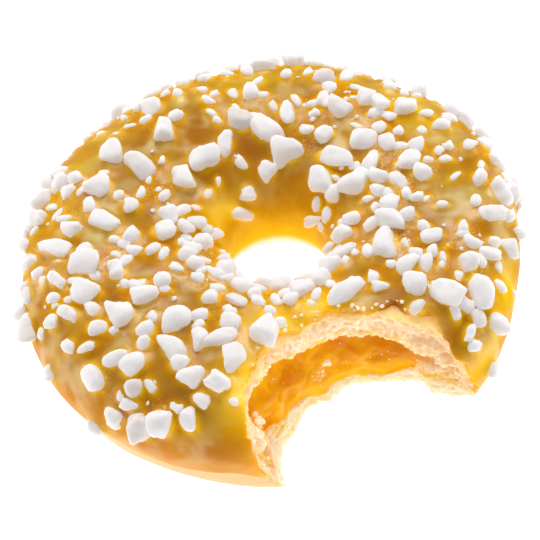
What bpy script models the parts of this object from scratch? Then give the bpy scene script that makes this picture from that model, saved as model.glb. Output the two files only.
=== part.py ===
"""A filled ring doughnut with a bite out of it: dough, lemon filling, yellow icing and white meringue nibs.

Units are metres and +Z is up. The doughnut lies on its flat underside at z = 0, and the origin is under
the middle of its bounding box. Azimuths run anticlockwise from +X, and an angle round the ring's section
runs from the outermost line at 0, over the top at 90, to the line nearest the hole at 180.
"""

import math
import random

import bmesh
import bpy
from mathutils import Vector, noise
from mathutils.bvhtree import BVHTree

MM = 0.001

# The ring, measured over its icing
OUTER_RADIUS = 45.0 * MM
HALF_WIDTH = 17.8 * MM
RING_RADIUS = OUTER_RADIUS - HALF_WIDTH
MID_HEIGHT = 10.8 * MM
HALF_HEIGHT = 11.6 * MM
LOWER_HALF_HEIGHT = 13.0 * MM
SQUARENESS = 2.5
AXIS_X = -0.22 * MM
AXIS_Y = -1.10 * MM

# The unevenness of proved dough: OUTLINE_WAVES are (waves round the ring, amplitude, azimuth of a crest), and
# SWELLS are (azimuth, spread, depth)
OUTLINE_WAVES = ((2, 0.30 * MM, 52), (3, 0.49 * MM, 44), (4, 0.36 * MM, 19))
HOLE_OFFSET = Vector((0.76 * MM, -0.61 * MM, 0.0))
SWELLS = ((322, 26, 1.2 * MM), (222, 32, 0.7 * MM))
RIM_SWELL = 0.9 * MM
RIM_SWELL_START = 6
RIM_SWELL_RUN = 20
LUMP_DEPTH = 0.35 * MM
LUMP_SIZE = 17.0 * MM
LUMP_SHIFTS = (Vector((0.0, 0.0, 0.0)), Vector((31.4, 0.0, 0.0)), Vector((0.0, 27.2, 0.0)))
FLAT_BASE = 2.5 * MM

# The layers, from the outside in
ICING_THICKNESS = 1.1 * MM
LAYER_GAP = 0.3 * MM
ICING_EDGE_OUTSIDE = -10
ICING_EDGE_INSIDE = 208
ICING_LIP = 14

# The filling's channel runs right round the ring. At the bite's left end it was piped out towards the skin
FILLING_RADIUS = 25.0 * MM
FILLING_HALF_WIDTH = 7.0 * MM
FILLING_HALF_HEIGHT = 7.0 * MM
FILLING_MID_HEIGHT = 9.1 * MM
FILLING_BULGE_OUT = 5.0 * MM
FILLING_BULGE_UP = 4.6 * MM
FILLING_BULGE_AZIMUTH = 257
FILLING_BULGE_SPREAD = 20

# The bite leans: its centre moves from the top of the ring to the table. Below FOOT_HEIGHT its wall stands
# back by FOOT_STEPS: (direction of the step, spread, depth), with a negative depth where a ledge is left
BITE_RADIUS = 20.7 * MM
BITE_TOP = Vector((12.4 * MM, -42.5 * MM, 22.0 * MM))
BITE_FOOT = Vector((17.0 * MM, -42.0 * MM, 1.5 * MM))
BITE_OVERRUN = 6.0 * MM
TOOTH_PITCH = 27
TOOTH_START = 10
TOOTH_DEPTH = 1.0 * MM
TEAR_DEPTH = 0.55 * MM
TEAR_SIZE = 3.6 * MM
FOOT_STEPS = ((182, 32, -1.4 * MM), (110, 50, 0.9 * MM), (56, 20, -0.5 * MM), (38, 16, 1.0 * MM))
FOOT_HEIGHT = 8.0 * MM
FILLING_SET_BACK = 0.4 * MM

# The meringue nibs. The real icing carries NIB_TOTAL of them, and the solid has the NIB_COUNT largest
NIB_TOTAL = 400
NIB_COUNT = 170
NIB_SEED = 27
NIB_LENGTHS = (1.4 * MM, 5.2 * MM, 2.9 * MM)
NIB_WIDTH_RATIO = (0.5, 0.95)
NIB_HEIGHT_RATIO = (0.8, 1.1)
NIB_HIGHEST = 4.2 * MM
NIB_ROUGHNESS = 0.15
NIB_SINK = 0.24
NIB_DEEPEST = 0.7 * MM
NIB_SPACING = 0.72
NIB_ANGLES = (-6, 165)
NIB_TRIES = 400
CLUSTER_SIZE = 9.0 * MM

# The nibs that stand out most: (azimuth, section angle, length and width in mm, turn on the icing)
STRIKING_NIBS = (
    (76, 117, 5.8, 5.0, 15),
    (49, 113, 7.8, 3.6, 15),
    (48, 131, 5.6, 4.6, 125),
    (28, 117, 6.2, 5.0, 105),
    (33, 102, 5.2, 2.9, 120),
    (124, 108, 6.0, 5.0, 145),
    (144, 89, 6.8, 4.2, 75),
    (144, 71, 5.8, 4.4, 35),
    (339, 107, 7.2, 5.0, 15),
    (190, 76, 5.6, 5.0, 70),
    (200, 72, 6.0, 4.8, 40),
    (325, 71, 6.6, 4.4, 80),
    (331, 52, 7.2, 4.5, 30),
    (263, 97, 6.8, 4.6, 75),
    (235, 80, 6.8, 3.9, 155),
    (229, 91, 5.8, 5.0, 120),
    (213, 80, 5.2, 4.8, 70),
    (228, 61, 5.4, 4.4, 75),
    (221, 39, 6.2, 4.0, 170),
    (236, 22, 5.2, 4.0, 110),
    (241, 31, 5.0, 4.2, 105),
    (247, 38, 4.8, 3.4, 130),
    (244, 67, 4.2, 3.7, 175),
    (252, 67, 4.2, 3.7, 60),
    (254, 84, 6.0, 3.8, 120),
    (247, 90, 6.2, 3.0, 30),
    (302, 107, 7.6, 3.8, 175),
    (333, 137, 6.2, 2.7, 115),
    (180, 58, 7.0, 3.0, 60),
    (172, 85, 7.0, 3.7, 55),
    (354, 106, 6.8, 3.6, 70),
    (357, 50, 6.8, 3.6, 110),
    (126, 83, 5.8, 4.0, 60),
    (140, 109, 5.4, 4.0, 55),
    (223, 58, 4.8, 3.2, 65),
    (229, 19, 4.0, 3.3, 90),
    (212, 91, 5.0, 3.5, 75),
    (89, 102, 6.6, 4.6, 120),
    (79, 92, 6.0, 3.0, 105),
    (110, 106, 5.4, 2.9, 60),
    (99, 95, 5.2, 4.0, 150),
    (177, 111, 4.6, 3.8, 120),
    (196, 88, 5.2, 3.4, 170),
    (23, 89, 4.6, 3.8, 60),
    (196, 17, 5.0, 3.6, 140),
    (208, 8, 3.4, 2.6, 65),
    (224, 0, 3.2, 3.0, 170),
    (110, 144, 3.1, 3.0, 70),
    (124, 157, 5.4, 2.5, 140),
    (182, 135, 3.4, 3.4, 175),
    (90, 132, 4.0, 3.3, 55),
    (122, 59, 4.9, 4.4, 170),
    (18, 26, 5.6, 3.2, 90),
    (5, 40, 5.1, 4.6, 20),
    (241, 135, 4.2, 3.4, 75),
    (285, 131, 4.6, 4.0, 20),
    (300, 131, 4.4, 4.0, 75),
    (314, 136, 4.2, 3.8, 120),
)

# Where the icing shows bare: (azimuth, section angle, reach in azimuth, reach in section angle, bareness).
# Where nibs crowd, the bareness is negative
BARE_PATCHES = (
    (98, 150, 66, 44, 1.0),
    (214, 0, 56, 38, 0.95),
    (252, 22, 26, 34, 0.95),
    (322, 14, 18, 34, 0.85),
    (283, 100, 14, 24, 0.7),
    (350, 6, 24, 26, 0.95),
    (42, 85, 34, 48, -1.0),
    (14, 136, 30, 26, 0.7),
    (78, 116, 24, 22, 1.0),
)

# Fineness of the faceted solids
AZIMUTH_STEPS = 42
SECTION_STEP = 19
CHANNEL_STEPS = 12
BITE_STEPS = 66
BITE_LEVELS = 8

DOUGH_COLOUR = (0.86, 0.62, 0.33, 1.0)
FILLING_COLOUR = (0.93, 0.47, 0.02, 1.0)
ICING_COLOUR = (0.83, 0.55, 0.09, 1.0)


def clear_scene():
    for obj in list(bpy.data.objects):
        bpy.data.objects.remove(obj, do_unlink=True)


def new_collection(name):
    collection = bpy.data.collections.new(name)
    bpy.context.scene.collection.children.link(collection)
    return collection


def new_material(name, colour, roughness):
    material = bpy.data.materials.new(name)
    material.use_nodes = True
    shader = material.node_tree.nodes["Principled BSDF"]
    shader.inputs["Base Color"].default_value = colour
    shader.inputs["Roughness"].default_value = roughness
    shader.inputs["Metallic"].default_value = 0.0
    return material


def signed_power(value, exponent):
    return math.copysign(abs(value) ** exponent, value)


def section_point(angle, inset):
    """(radius, height) on the ring's section, `inset` inside the icing's skin. The table cuts it flat."""
    turn = math.radians(angle)
    radius = RING_RADIUS + (HALF_WIDTH - inset) * signed_power(math.cos(turn), 2 / SQUARENESS)
    half_height = HALF_HEIGHT if angle % 360 < 180 else LOWER_HALF_HEIGHT
    height = MID_HEIGHT + (half_height - inset) * signed_power(math.sin(turn), 2 / SQUARENESS)
    return radius, max(height, 0.0)


def on_ring(azimuth, angle, inset=0.0):
    radius, height = section_point(angle, inset)
    turn = math.radians(azimuth)
    return Vector((radius * math.cos(turn), radius * math.sin(turn), height))


def smooth_step(value):
    share = min(max(value, 0.0), 1.0)
    return share * share * (3 - 2 * share)


def turn_between(a, b):
    return abs((a - b + 180) % 360 - 180)


def near_turn(turn, at, spread):
    """1 at the direction `at`, in degrees, falling smoothly to 0 where `turn` is `spread` away from it."""
    return smooth_step(1 - turn_between(turn, at) / spread)


def lump(place):
    """A smooth push in a direction that changes over the skin, up to about 1 each way."""
    return Vector([noise.noise(place + shift) for shift in LUMP_SHIFTS])


def settled(point):
    """A point of the even ring, moved as dough settles: a waved outline, an off-centre hole, lumpy skin."""
    azimuth = math.atan2(point.y, point.x)
    outward = Vector((math.cos(azimuth), math.sin(azimuth), 0.0))
    across = (math.hypot(point.x, point.y) - RING_RADIUS) / HALF_WIDTH
    outer_share = smooth_step((across + 1) / 2)
    swell = sum(depth * near_turn(math.degrees(azimuth), at, spread) for at, spread, depth in SWELLS)
    waves = [size * math.cos(count * (azimuth - math.radians(crest))) for count, size, crest in OUTLINE_WAVES]
    lumps = LUMP_DEPTH * lump(point / LUMP_SIZE)
    lumps.z *= smooth_step(point.z / FLAT_BASE)
    moved = point + outward * ((sum(waves) + swell) * outer_share) + HOLE_OFFSET * (1 - outer_share) + lumps
    return moved + Vector((AXIS_X, AXIS_Y, 0.0))


def bulged(point):
    """A point of the filling's even ring, moved out and up where the filling was piped towards the skin."""
    azimuth = math.atan2(point.y, point.x)
    off = turn_between(math.degrees(azimuth), FILLING_BULGE_AZIMUTH)
    share = 1 - smooth_step((off - 6) / FILLING_BULGE_SPREAD)
    across = (math.hypot(point.x, point.y) - FILLING_RADIUS) / FILLING_HALF_WIDTH
    push = Vector((math.cos(azimuth), math.sin(azimuth), 0.0)) * FILLING_BULGE_OUT
    push.z = FILLING_BULGE_UP
    return point + push * (share * smooth_step((across + 1) / 2))


def in_channel(point):
    return settled(bulged(point))


def turned_object(name, profile, collection, rule=settled):
    """A closed outline of (radius, height) points, turned about the Z axis. The rule moves each point."""
    mesh = bpy.data.meshes.new(name)
    corners = [(radius, 0.0, height) for radius, height in profile]
    edges = [(i, (i + 1) % len(corners)) for i in range(len(corners))]
    mesh.from_pydata(corners, edges, [])
    obj = bpy.data.objects.new(name, mesh)
    collection.objects.link(obj)
    screw = obj.modifiers.new("turn", "SCREW")
    screw.axis = "Z"
    screw.steps = AZIMUTH_STEPS
    screw.render_steps = AZIMUTH_STEPS
    screw.use_merge_vertices = True
    screw.merge_threshold = 0.00001
    bake_modifiers(obj)
    for vertex in obj.data.vertices:
        vertex.co = rule(vertex.co.copy())
    face_outwards(obj.data)
    return obj


def bake_modifiers(obj):
    """Gives the object the mesh that its modifiers make, and drops the modifiers."""
    bpy.context.view_layer.update()
    graph = bpy.context.evaluated_depsgraph_get()
    made = bpy.data.meshes.new_from_object(obj.evaluated_get(graph))
    obj.modifiers.clear()
    obj.data = made


def face_outwards(mesh):
    shape = bmesh.new()
    shape.from_mesh(mesh)
    bmesh.ops.remove_doubles(shape, verts=shape.verts, dist=0.00001)
    bmesh.ops.recalc_face_normals(shape, faces=shape.faces)
    shape.to_mesh(mesh)
    shape.free()


def combine(obj, operation, other=None, group=None, solver="EXACT"):
    """Cuts or joins the object with another one, or with every object of a collection."""
    boolean = obj.modifiers.new(operation.lower(), "BOOLEAN")
    boolean.operation = operation
    boolean.solver = solver
    if group:
        boolean.operand_type = "COLLECTION"
        boolean.collection = group
    else:
        boolean.object = other
    bake_modifiers(obj)


def ring_angles():
    count = round(360 / SECTION_STEP)
    return [i * 360 / count for i in range(count)]


def dough_profile():
    """The dough lies a little inside the icing, and swells out in a bare rim below the icing's edges."""
    bare_middle = (ICING_EDGE_OUTSIDE + ICING_EDGE_INSIDE - 360) / 2
    bare_half = bare_middle + 360 - ICING_EDGE_INSIDE
    points = []
    for angle in ring_angles():
        past_edge = bare_half - turn_between(angle, bare_middle)
        swell = RIM_SWELL * smooth_step((past_edge - RIM_SWELL_START) / RIM_SWELL_RUN)
        points.append(section_point(angle, ICING_THICKNESS + LAYER_GAP - swell))
    return points


def icing_profile():
    """A crescent over the top of the section. It thins to a rounded lip at both lower edges."""
    count = round((ICING_EDGE_INSIDE - ICING_EDGE_OUTSIDE) / SECTION_STEP)
    step = (ICING_EDGE_INSIDE - ICING_EDGE_OUTSIDE) / count
    angles = [ICING_EDGE_OUTSIDE + i * step for i in range(count + 1)]

    def skin(angle):
        from_edge = min(angle - ICING_EDGE_OUTSIDE, ICING_EDGE_INSIDE - angle)
        thinning = 1 - smooth_step(from_edge / ICING_LIP)
        return section_point(angle, 0.6 * ICING_THICKNESS * thinning)

    outer = [skin(angle) for angle in angles]
    inner = [section_point(angle, ICING_THICKNESS) for angle in angles]
    return outer + inner[::-1]


def filling_profile(margin):
    points = []
    for i in range(CHANNEL_STEPS):
        turn = 2 * math.pi * i / CHANNEL_STEPS
        radius = FILLING_RADIUS + (FILLING_HALF_WIDTH + margin) * math.cos(turn)
        height = FILLING_MID_HEIGHT + (FILLING_HALF_HEIGHT + margin) * math.sin(turn)
        points.append((radius, height))
    return points


def bite_centre(height):
    share = (height - BITE_TOP.z) / (BITE_FOOT.z - BITE_TOP.z)
    return BITE_TOP.lerp(BITE_FOOT, share)


def bite_reach(turn, height):
    """How far the bite's wall stands from its centre line: tooth marks, torn crumb, and steps at the foot."""
    tooth = abs(math.sin(math.pi * (math.degrees(turn) - TOOTH_START) / TOOTH_PITCH))
    place = Vector((math.cos(turn), math.sin(turn), 0.0)) * BITE_RADIUS + Vector((0, 0, height))
    step = sum(depth * near_turn(math.degrees(turn), at, spread) for at, spread, depth in FOOT_STEPS)
    foot = smooth_step((FOOT_HEIGHT - height) / (FOOT_HEIGHT - 2 * MM))
    torn = TEAR_DEPTH * noise.noise(place / TEAR_SIZE)
    return BITE_RADIUS + TOOTH_DEPTH * (tooth - 0.6) + torn + foot * step


def bite_cutter(name, set_back, collection):
    """A leaning drum with the bite's wall. `set_back` widens it, so that its cut lies behind the crumb."""
    low = -BITE_OVERRUN
    high = MID_HEIGHT + HALF_HEIGHT + BITE_OVERRUN
    bpy.ops.mesh.primitive_cylinder_add(
        vertices=BITE_STEPS, radius=1.0, depth=high - low, location=(0, 0, (low + high) / 2)
    )
    obj = bpy.context.object
    obj.name = name
    for owner in list(obj.users_collection):
        owner.objects.unlink(obj)
    collection.objects.link(obj)
    obj.data.transform(obj.matrix_basis)
    obj.matrix_basis.identity()
    shape = bmesh.new()
    shape.from_mesh(obj.data)
    for level in range(1, BITE_LEVELS):
        height = low + (high - low) * level / BITE_LEVELS
        everything = shape.verts[:] + shape.edges[:] + shape.faces[:]
        bmesh.ops.bisect_plane(shape, geom=everything, plane_co=(0, 0, height), plane_no=(0, 0, 1))
    for vertex in shape.verts:
        turn = math.atan2(vertex.co.y, vertex.co.x)
        reach = bite_reach(turn, vertex.co.z) + set_back
        centre = bite_centre(vertex.co.z)
        vertex.co.x = centre.x + reach * math.cos(turn) + AXIS_X
        vertex.co.y = centre.y + reach * math.sin(turn) + AXIS_Y
    shape.to_mesh(obj.data)
    shape.free()
    obj.hide_render = True
    obj.display_type = "WIRE"
    return obj


def keep_main_skin(mesh):
    """Keeps the largest closed skin alone. The others are pockets that nibs seal off, or a loose nib."""
    shape = bmesh.new()
    shape.from_mesh(mesh)
    unseen = set(shape.verts)
    skins = []
    while unseen:
        skin = {unseen.pop()}
        front = list(skin)
        while front:
            vertex = front.pop()
            for edge in vertex.link_edges:
                other = edge.other_vert(vertex)
                if other in unseen:
                    unseen.remove(other)
                    skin.add(other)
                    front.append(other)
        skins.append(skin)
    skins.sort(key=len)
    for pocket in skins[:-1]:
        bmesh.ops.delete(shape, geom=list(pocket), context="VERTS")
    shape.to_mesh(mesh)
    shape.free()


def nib_density(azimuth, angle):
    """How thickly the nibs lie, from 0 to 1: bare patches, clusters, and less room towards the hole."""
    share = math.sqrt(section_point(angle, 0.0)[0] / OUTER_RADIUS)
    for patch_azimuth, patch_angle, reach_azimuth, reach_angle, bareness in BARE_PATCHES:
        across = turn_between(azimuth, patch_azimuth) / reach_azimuth
        away = math.hypot(across, (angle - patch_angle) / reach_angle)
        share *= 1 - bareness * (1 - smooth_step((away - 0.55) / 0.6))
    cluster = 0.5 + noise.noise(on_ring(azimuth, angle) / CLUSTER_SIZE)
    return share * (0.3 + 0.7 * smooth_step(cluster))


def inside_bite(point, margin):
    centre = bite_centre(point.z)
    return math.hypot(point.x - centre.x, point.y - centre.y) < BITE_RADIUS + margin


def new_nib(azimuth, angle, length, width, turn, draw):
    height = min(width * draw.uniform(*NIB_HEIGHT_RATIO), NIB_HIGHEST)
    return {
        "spot": on_ring(azimuth, angle),
        "azimuth": azimuth,
        "angle": angle,
        "girth": (length + width) / 2,
        "size": Vector((length, width, height)),
        "turn": turn,
        "seed": draw.randrange(10**6),
    }


def striking_nibs():
    draw = random.Random(NIB_SEED)
    return [
        new_nib(azimuth, angle, length * MM, width * MM, math.radians(turn), draw)
        for azimuth, angle, length, width, turn in STRIKING_NIBS
    ]


def crowds(nib, others):
    for other in others:
        room = NIB_SPACING * (nib["girth"] + other["girth"]) / 2
        if (nib["spot"] - other["spot"]).length < room:
            return True
    return False


def scatter_nibs(lengths, placed, seed):
    """Adds a nib for each length, each where the density allows it and no other nib is too near."""
    draw = random.Random(seed)
    nibs = list(placed)
    for length in lengths:
        width = length * draw.uniform(*NIB_WIDTH_RATIO)
        for _ in range(NIB_TRIES):
            azimuth = draw.uniform(0, 360)
            angle = draw.uniform(*NIB_ANGLES)
            if draw.random() > nib_density(azimuth, angle):
                continue
            nib = new_nib(azimuth, angle, length, width, draw.uniform(0, math.pi), draw)
            if not crowds(nib, nibs) and not inside_bite(nib["spot"], 0.5 * length):
                nibs.append(nib)
                break
    return nibs


def largest_nibs():
    """The striking nibs, then the longest of the others, whose lengths are drawn for the whole doughnut."""
    draw = random.Random(NIB_SEED)
    shortest, longest, usual = NIB_LENGTHS
    placed = striking_nibs()
    lengths = [draw.triangular(shortest, longest, usual) for _ in range(NIB_TOTAL - len(placed))]
    lengths.sort(reverse=True)
    return scatter_nibs(lengths[: NIB_COUNT - len(placed)], placed, NIB_SEED)


def nib_axes(nib):
    """Length, width and height directions of a nib that lies on the icing."""
    nudge = 0.5
    along = on_ring(nib["azimuth"] + nudge, nib["angle"]) - on_ring(nib["azimuth"] - nudge, nib["angle"])
    over = on_ring(nib["azimuth"], nib["angle"] + nudge) - on_ring(nib["azimuth"], nib["angle"] - nudge)
    up = along.cross(over).normalized()
    along.normalize()
    over = up.cross(along)
    length = along * math.cos(nib["turn"]) + over * math.sin(nib["turn"])
    return length, up.cross(length), up


def nib_corners(unit_corners, nib):
    """The corners of one nib: a rounded lump with bumps of its own draw, sunk a little in the icing."""
    draw = random.Random(nib["seed"])
    length, width, up = nib_axes(nib)
    half = nib["size"] / 2
    rise = half.z * (1 - 2 * NIB_SINK)
    for corner in unit_corners:
        rough = 1 + draw.uniform(-NIB_ROUGHNESS, NIB_ROUGHNESS)
        local = corner * rough
        flat = length * local.x * half.x + width * local.y * half.y
        yield nib["spot"] + flat + up * (local.z * half.z + rise)


def make_nib(index, nib, skin, collection):
    """One nib as a low icosphere. No corner goes deeper into the icing than NIB_DEEPEST."""
    shape = bmesh.new()
    bmesh.ops.create_icosphere(shape, subdivisions=1, radius=1.0)
    corners = nib_corners([vertex.co.copy() for vertex in shape.verts], nib)
    for vertex, corner in zip(shape.verts, corners):
        corner = settled(corner)
        nearest, normal, _, _ = skin.find_nearest(corner)
        depth = (nearest - corner).dot(normal)
        vertex.co = corner + normal * max(depth - NIB_DEEPEST, 0.0)
    mesh = bpy.data.meshes.new(f"nib_{index:03d}")
    shape.to_mesh(mesh)
    shape.free()
    obj = bpy.data.objects.new(mesh.name, mesh)
    collection.objects.link(obj)
    return obj


def skin_tree(obj):
    """A search tree of the icing's outer skin, so that no nib's depth is measured from the inner face."""
    mesh = obj.data
    middle = Vector((AXIS_X, AXIS_Y, MID_HEIGHT))
    outer = []
    for polygon in mesh.polygons:
        flat = Vector((polygon.center.x - middle.x, polygon.center.y - middle.y, 0.0))
        core = middle + flat.normalized() * RING_RADIUS
        if polygon.normal.dot(polygon.center - core) > 0:
            outer.append(tuple(polygon.vertices))
    return BVHTree.FromPolygons([vertex.co for vertex in mesh.vertices], outer)


def build_dough(parts, cutters):
    dough = turned_object("dough", dough_profile(), parts)
    channel = turned_object("filling_channel", filling_profile(LAYER_GAP), cutters, in_channel)
    combine(dough, "DIFFERENCE", channel)
    combine(dough, "DIFFERENCE", bite_cutter("bite_in_dough", 0.0, cutters))
    dough.data.materials.clear()
    dough.data.materials.append(new_material("dough", DOUGH_COLOUR, 0.7))
    return dough


def build_filling(parts, cutters):
    filling = turned_object("lemon_filling", filling_profile(0.0), parts, in_channel)
    combine(filling, "DIFFERENCE", bite_cutter("bite_in_filling", FILLING_SET_BACK, cutters))
    filling.data.materials.clear()
    filling.data.materials.append(new_material("lemon_filling", FILLING_COLOUR, 0.25))
    return filling


def build_icing(parts, cutters):
    icing = turned_object("icing", icing_profile(), parts)
    skin = skin_tree(icing)
    combine(icing, "DIFFERENCE", bite_cutter("bite_in_icing", 0.0, cutters))
    nibs = new_collection("nibs")
    for index, nib in enumerate(largest_nibs()):
        make_nib(index, nib, skin, nibs)
    combine(icing, "UNION", group=nibs, solver="MANIFOLD")
    keep_main_skin(icing.data)
    for nib in list(nibs.objects):
        bpy.data.objects.remove(nib, do_unlink=True)
    icing.data.materials.clear()
    icing.data.materials.append(new_material("icing", ICING_COLOUR, 0.35))
    return icing


def main():
    clear_scene()
    parts = new_collection("lemon_meringue_doughnut")
    cutters = new_collection("cutters")
    for build in (build_dough, build_filling, build_icing):
        obj = build(parts, cutters)
        obj.data.shade_smooth()
        obj.data.set_sharp_from_angle(angle=math.radians(40))
    for cutter in cutters.objects:
        cutter.hide_render = True
        cutter.display_type = "WIRE"


main()
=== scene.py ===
# %% [markdown]
# # A lemon meringue doughnut with a bite out of it
#
# The real thing is a raised ring of dough with a channel of lemon gel inside it. It is dipped in yellow icing
# and rolled, still wet, in broken meringue. Each step below makes one of those pieces or one finish. All
# sizes are metres, +Z is up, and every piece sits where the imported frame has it.

import math
import random

import bpy
import numpy as np
from mathutils import Matrix, Vector, noise
from mathutils.bvhtree import BVHTree


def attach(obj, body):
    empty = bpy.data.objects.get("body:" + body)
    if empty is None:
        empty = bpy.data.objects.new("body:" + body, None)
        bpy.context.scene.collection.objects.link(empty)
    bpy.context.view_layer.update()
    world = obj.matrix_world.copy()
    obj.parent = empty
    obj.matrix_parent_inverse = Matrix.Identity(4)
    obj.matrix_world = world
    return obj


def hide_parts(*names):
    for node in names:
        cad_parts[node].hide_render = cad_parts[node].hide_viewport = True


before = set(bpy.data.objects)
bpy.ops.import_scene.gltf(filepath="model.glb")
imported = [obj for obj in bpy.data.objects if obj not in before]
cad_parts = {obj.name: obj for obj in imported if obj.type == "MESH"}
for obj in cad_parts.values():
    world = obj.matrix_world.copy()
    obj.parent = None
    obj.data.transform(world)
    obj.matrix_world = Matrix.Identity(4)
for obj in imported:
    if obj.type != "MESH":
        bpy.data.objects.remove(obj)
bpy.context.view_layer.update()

# %% [markdown]
# ## The camera
#
# The picture looks down on the doughnut from about fifty degrees, through a long lens, and leans a little. A
# real camera is placed by where it stands and what it looks at, so the script does the same: it steps back
# from a point on the ring's axis along the line of sight, then rolls the camera about that line.

# %% Camera
MM = 0.001
AXIS = Vector((-0.22 * MM, -1.10 * MM, 0.0))
MID_HEIGHT = 10.8 * MM
CAMERA_ELEVATION = math.radians(50.41)
CAMERA_DISTANCE = 372.7 * MM
CAMERA_ROLL = math.radians(5.70)
SENSOR_WIDTH = 36.0
# In pixels of the picture
PICTURE = 540
FOCAL_LENGTH = 2064.0
OPTICAL_CENTRE = (273.33, 263.88)


def add_object(name, data):
    obj = bpy.data.objects.new(name, data)
    bpy.context.scene.collection.objects.link(obj)
    return obj


def add_camera():
    data = bpy.data.cameras.new("camera")
    camera = add_object("camera", data)
    sight = Vector((0.0, math.cos(CAMERA_ELEVATION), -math.sin(CAMERA_ELEVATION)))
    camera.location = AXIS + Vector((0.0, 0.0, MID_HEIGHT)) - sight * CAMERA_DISTANCE
    level = sight.to_track_quat("-Z", "Y").to_matrix().to_4x4()
    camera.rotation_euler = (level @ Matrix.Rotation(-CAMERA_ROLL, 4, "Z")).to_euler()
    data.sensor_width = SENSOR_WIDTH
    data.lens = SENSOR_WIDTH * FOCAL_LENGTH / PICTURE
    data.shift_x = (PICTURE / 2 - OPTICAL_CENTRE[0]) / PICTURE
    data.shift_y = (OPTICAL_CENTRE[1] - PICTURE / 2) / PICTURE
    bpy.context.scene.camera = camera
    print("lens, mm:", round(data.lens, 1))


add_camera()

# %% [markdown]
# ## Writing materials as sums
#
# A finish is a small sum over the surface: a base colour, plus blotches, times a mask. Wiring Math nodes by
# hand hides that sum, so a `Signal` stands for one output socket, and adding or multiplying signals adds the
# nodes. A colour is written as (red, green, blue), and colours are laid over each other as thin coats of
# paint are.

# %% A small language for materials
class Signal:
    """One output socket. Arithmetic on it adds Math nodes to the tree that it belongs to."""

    def __init__(self, finish, socket):
        self.finish = finish
        self.socket = socket

    def math(self, operation, first, second):
        return self.finish.node("ShaderNodeMath", {"operation": operation}, {0: first, 1: second})

    def __add__(self, other):
        return self.math("ADD", self, other)

    def __rsub__(self, other):
        return self.math("SUBTRACT", other, self)

    def __mul__(self, other):
        return self.math("MULTIPLY", self, other)

    __radd__ = __add__
    __rmul__ = __mul__


class Finish:
    """A material being made. Values that are the same all over go straight on the shader."""

    def __init__(self, name, **values):
        self.material = bpy.data.materials.new(name)
        self.material.use_nodes = True
        self.tree = self.material.node_tree
        self.shader = self.tree.nodes["Principled BSDF"]
        for key, value in values.items():
            self.shader.inputs[key.replace("_", " ")].default_value = value

    def node(self, kind, settings=None, inputs=None, output=0):
        made = self.tree.nodes.new(kind)
        for key, value in (settings or {}).items():
            if key == "stops":
                self.set_stops(made.color_ramp, value)
            else:
                setattr(made, key, value)
        for key, value in (inputs or {}).items():
            self.feed(made.inputs[key], value)
        return Signal(self, made.outputs[output])

    def feed(self, socket, value):
        """Links a signal, or sets a value. A tuple is a colour."""
        if isinstance(value, Signal):
            self.tree.links.new(value.socket, socket)
        else:
            socket.default_value = (*value, 1.0) if isinstance(value, tuple) else value

    def set_stops(self, ramp, stops):
        while len(ramp.elements) < len(stops):
            ramp.elements.new(1.0)
        for element, (position, colour) in zip(ramp.elements, stops):
            element.position = position
            element.color = (*colour, 1.0)

    def noise(self, size, detail=2.0, roughness=0.5):
        """Soft noise from 0 to 1 whose features are about `size` metres across."""
        place = self.node("ShaderNodeTexCoord", output="Object")
        inputs = {"Vector": place, "Scale": 1 / size, "Detail": detail, "Roughness": roughness}
        return self.node("ShaderNodeTexNoise", inputs=inputs)

    def ramp(self, value, stops):
        return self.node("ShaderNodeValToRGB", {"stops": stops}, {"Fac": value})

    def mask(self, value, low, high):
        """0 where the value is below low, 1 where it is above high."""
        inputs = {"Value": value, "From Min": low, "From Max": high}
        return self.node("ShaderNodeMapRange", {"interpolation_type": "SMOOTHSTEP"}, inputs)

    def mix(self, share, first, second):
        """The first colour where the share is 0, the second where it is 1. They are sockets 6 and 7."""
        return self.node("ShaderNodeMix", {"data_type": "RGBA"}, {0: share, 6: first, 7: second}, output=2)

    def layers(self, colour, *coats):
        """Lays coats of (share, colour) over a first colour, one after the other."""
        for share, coat in coats:
            colour = self.mix(share, colour, coat)
        return colour

    def painted(self, name):
        """A value that the piece's own mesh carries."""
        return self.node("ShaderNodeAttribute", {"attribute_name": name}, output="Fac")

    def bump(self, height, depth, strength):
        inputs = {"Height": height, "Distance": depth, "Strength": strength}
        return self.node("ShaderNodeBump", inputs=inputs, output="Normal")

    def use(self, **links):
        for key, value in links.items():
            self.feed(self.shader.inputs[key.replace("_", " ")], value)
        print(self.material.name, "finish, nodes:", len(self.tree.nodes))
        return self.material


# %% [markdown]
# ## Floor and light
#
# The doughnut was shot on a white table that glows, with one soft lamp high up behind it, and wide, low
# panels behind it and at both sides. So the floor gives off light of its own, which makes the thin edges
# shine. The plain Standard view keeps whites white.

# %% Floor, sky and lamps
FLOOR_SIZE = 4.0
FLOOR_GREY = 0.3
FLOOR_GLOW = 1.25
SKY_GLOW = 0.36
WHITE = (1.0, 1.0, 1.0)
# Name, width and height, watts, place
LAMPS = (
    ("lamp_above", (0.5, 0.5), 2.8, (0.05, 0.30, 0.55)),
    ("panel_behind", (1.8, 0.45), 0.5, (0.0, 0.90, 0.24)),
    ("panel_left", (1.0, 0.45), 2.4, (-0.90, 0.10, 0.24)),
    ("panel_right", (1.0, 0.45), 1.8, (0.90, 0.20, 0.24)),
)


def add_floor():
    bpy.ops.object.select_all(action="DESELECT")
    bpy.ops.mesh.primitive_plane_add(size=FLOOR_SIZE, location=(0.0, 0.0, 0.0))
    floor = bpy.context.object
    floor.name = "floor"
    finish = Finish("white_table", Roughness=0.8, Emission_Strength=FLOOR_GLOW)
    floor.data.materials.append(finish.use(Base_Color=(FLOOR_GREY,) * 3, Emission_Color=WHITE))


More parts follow.
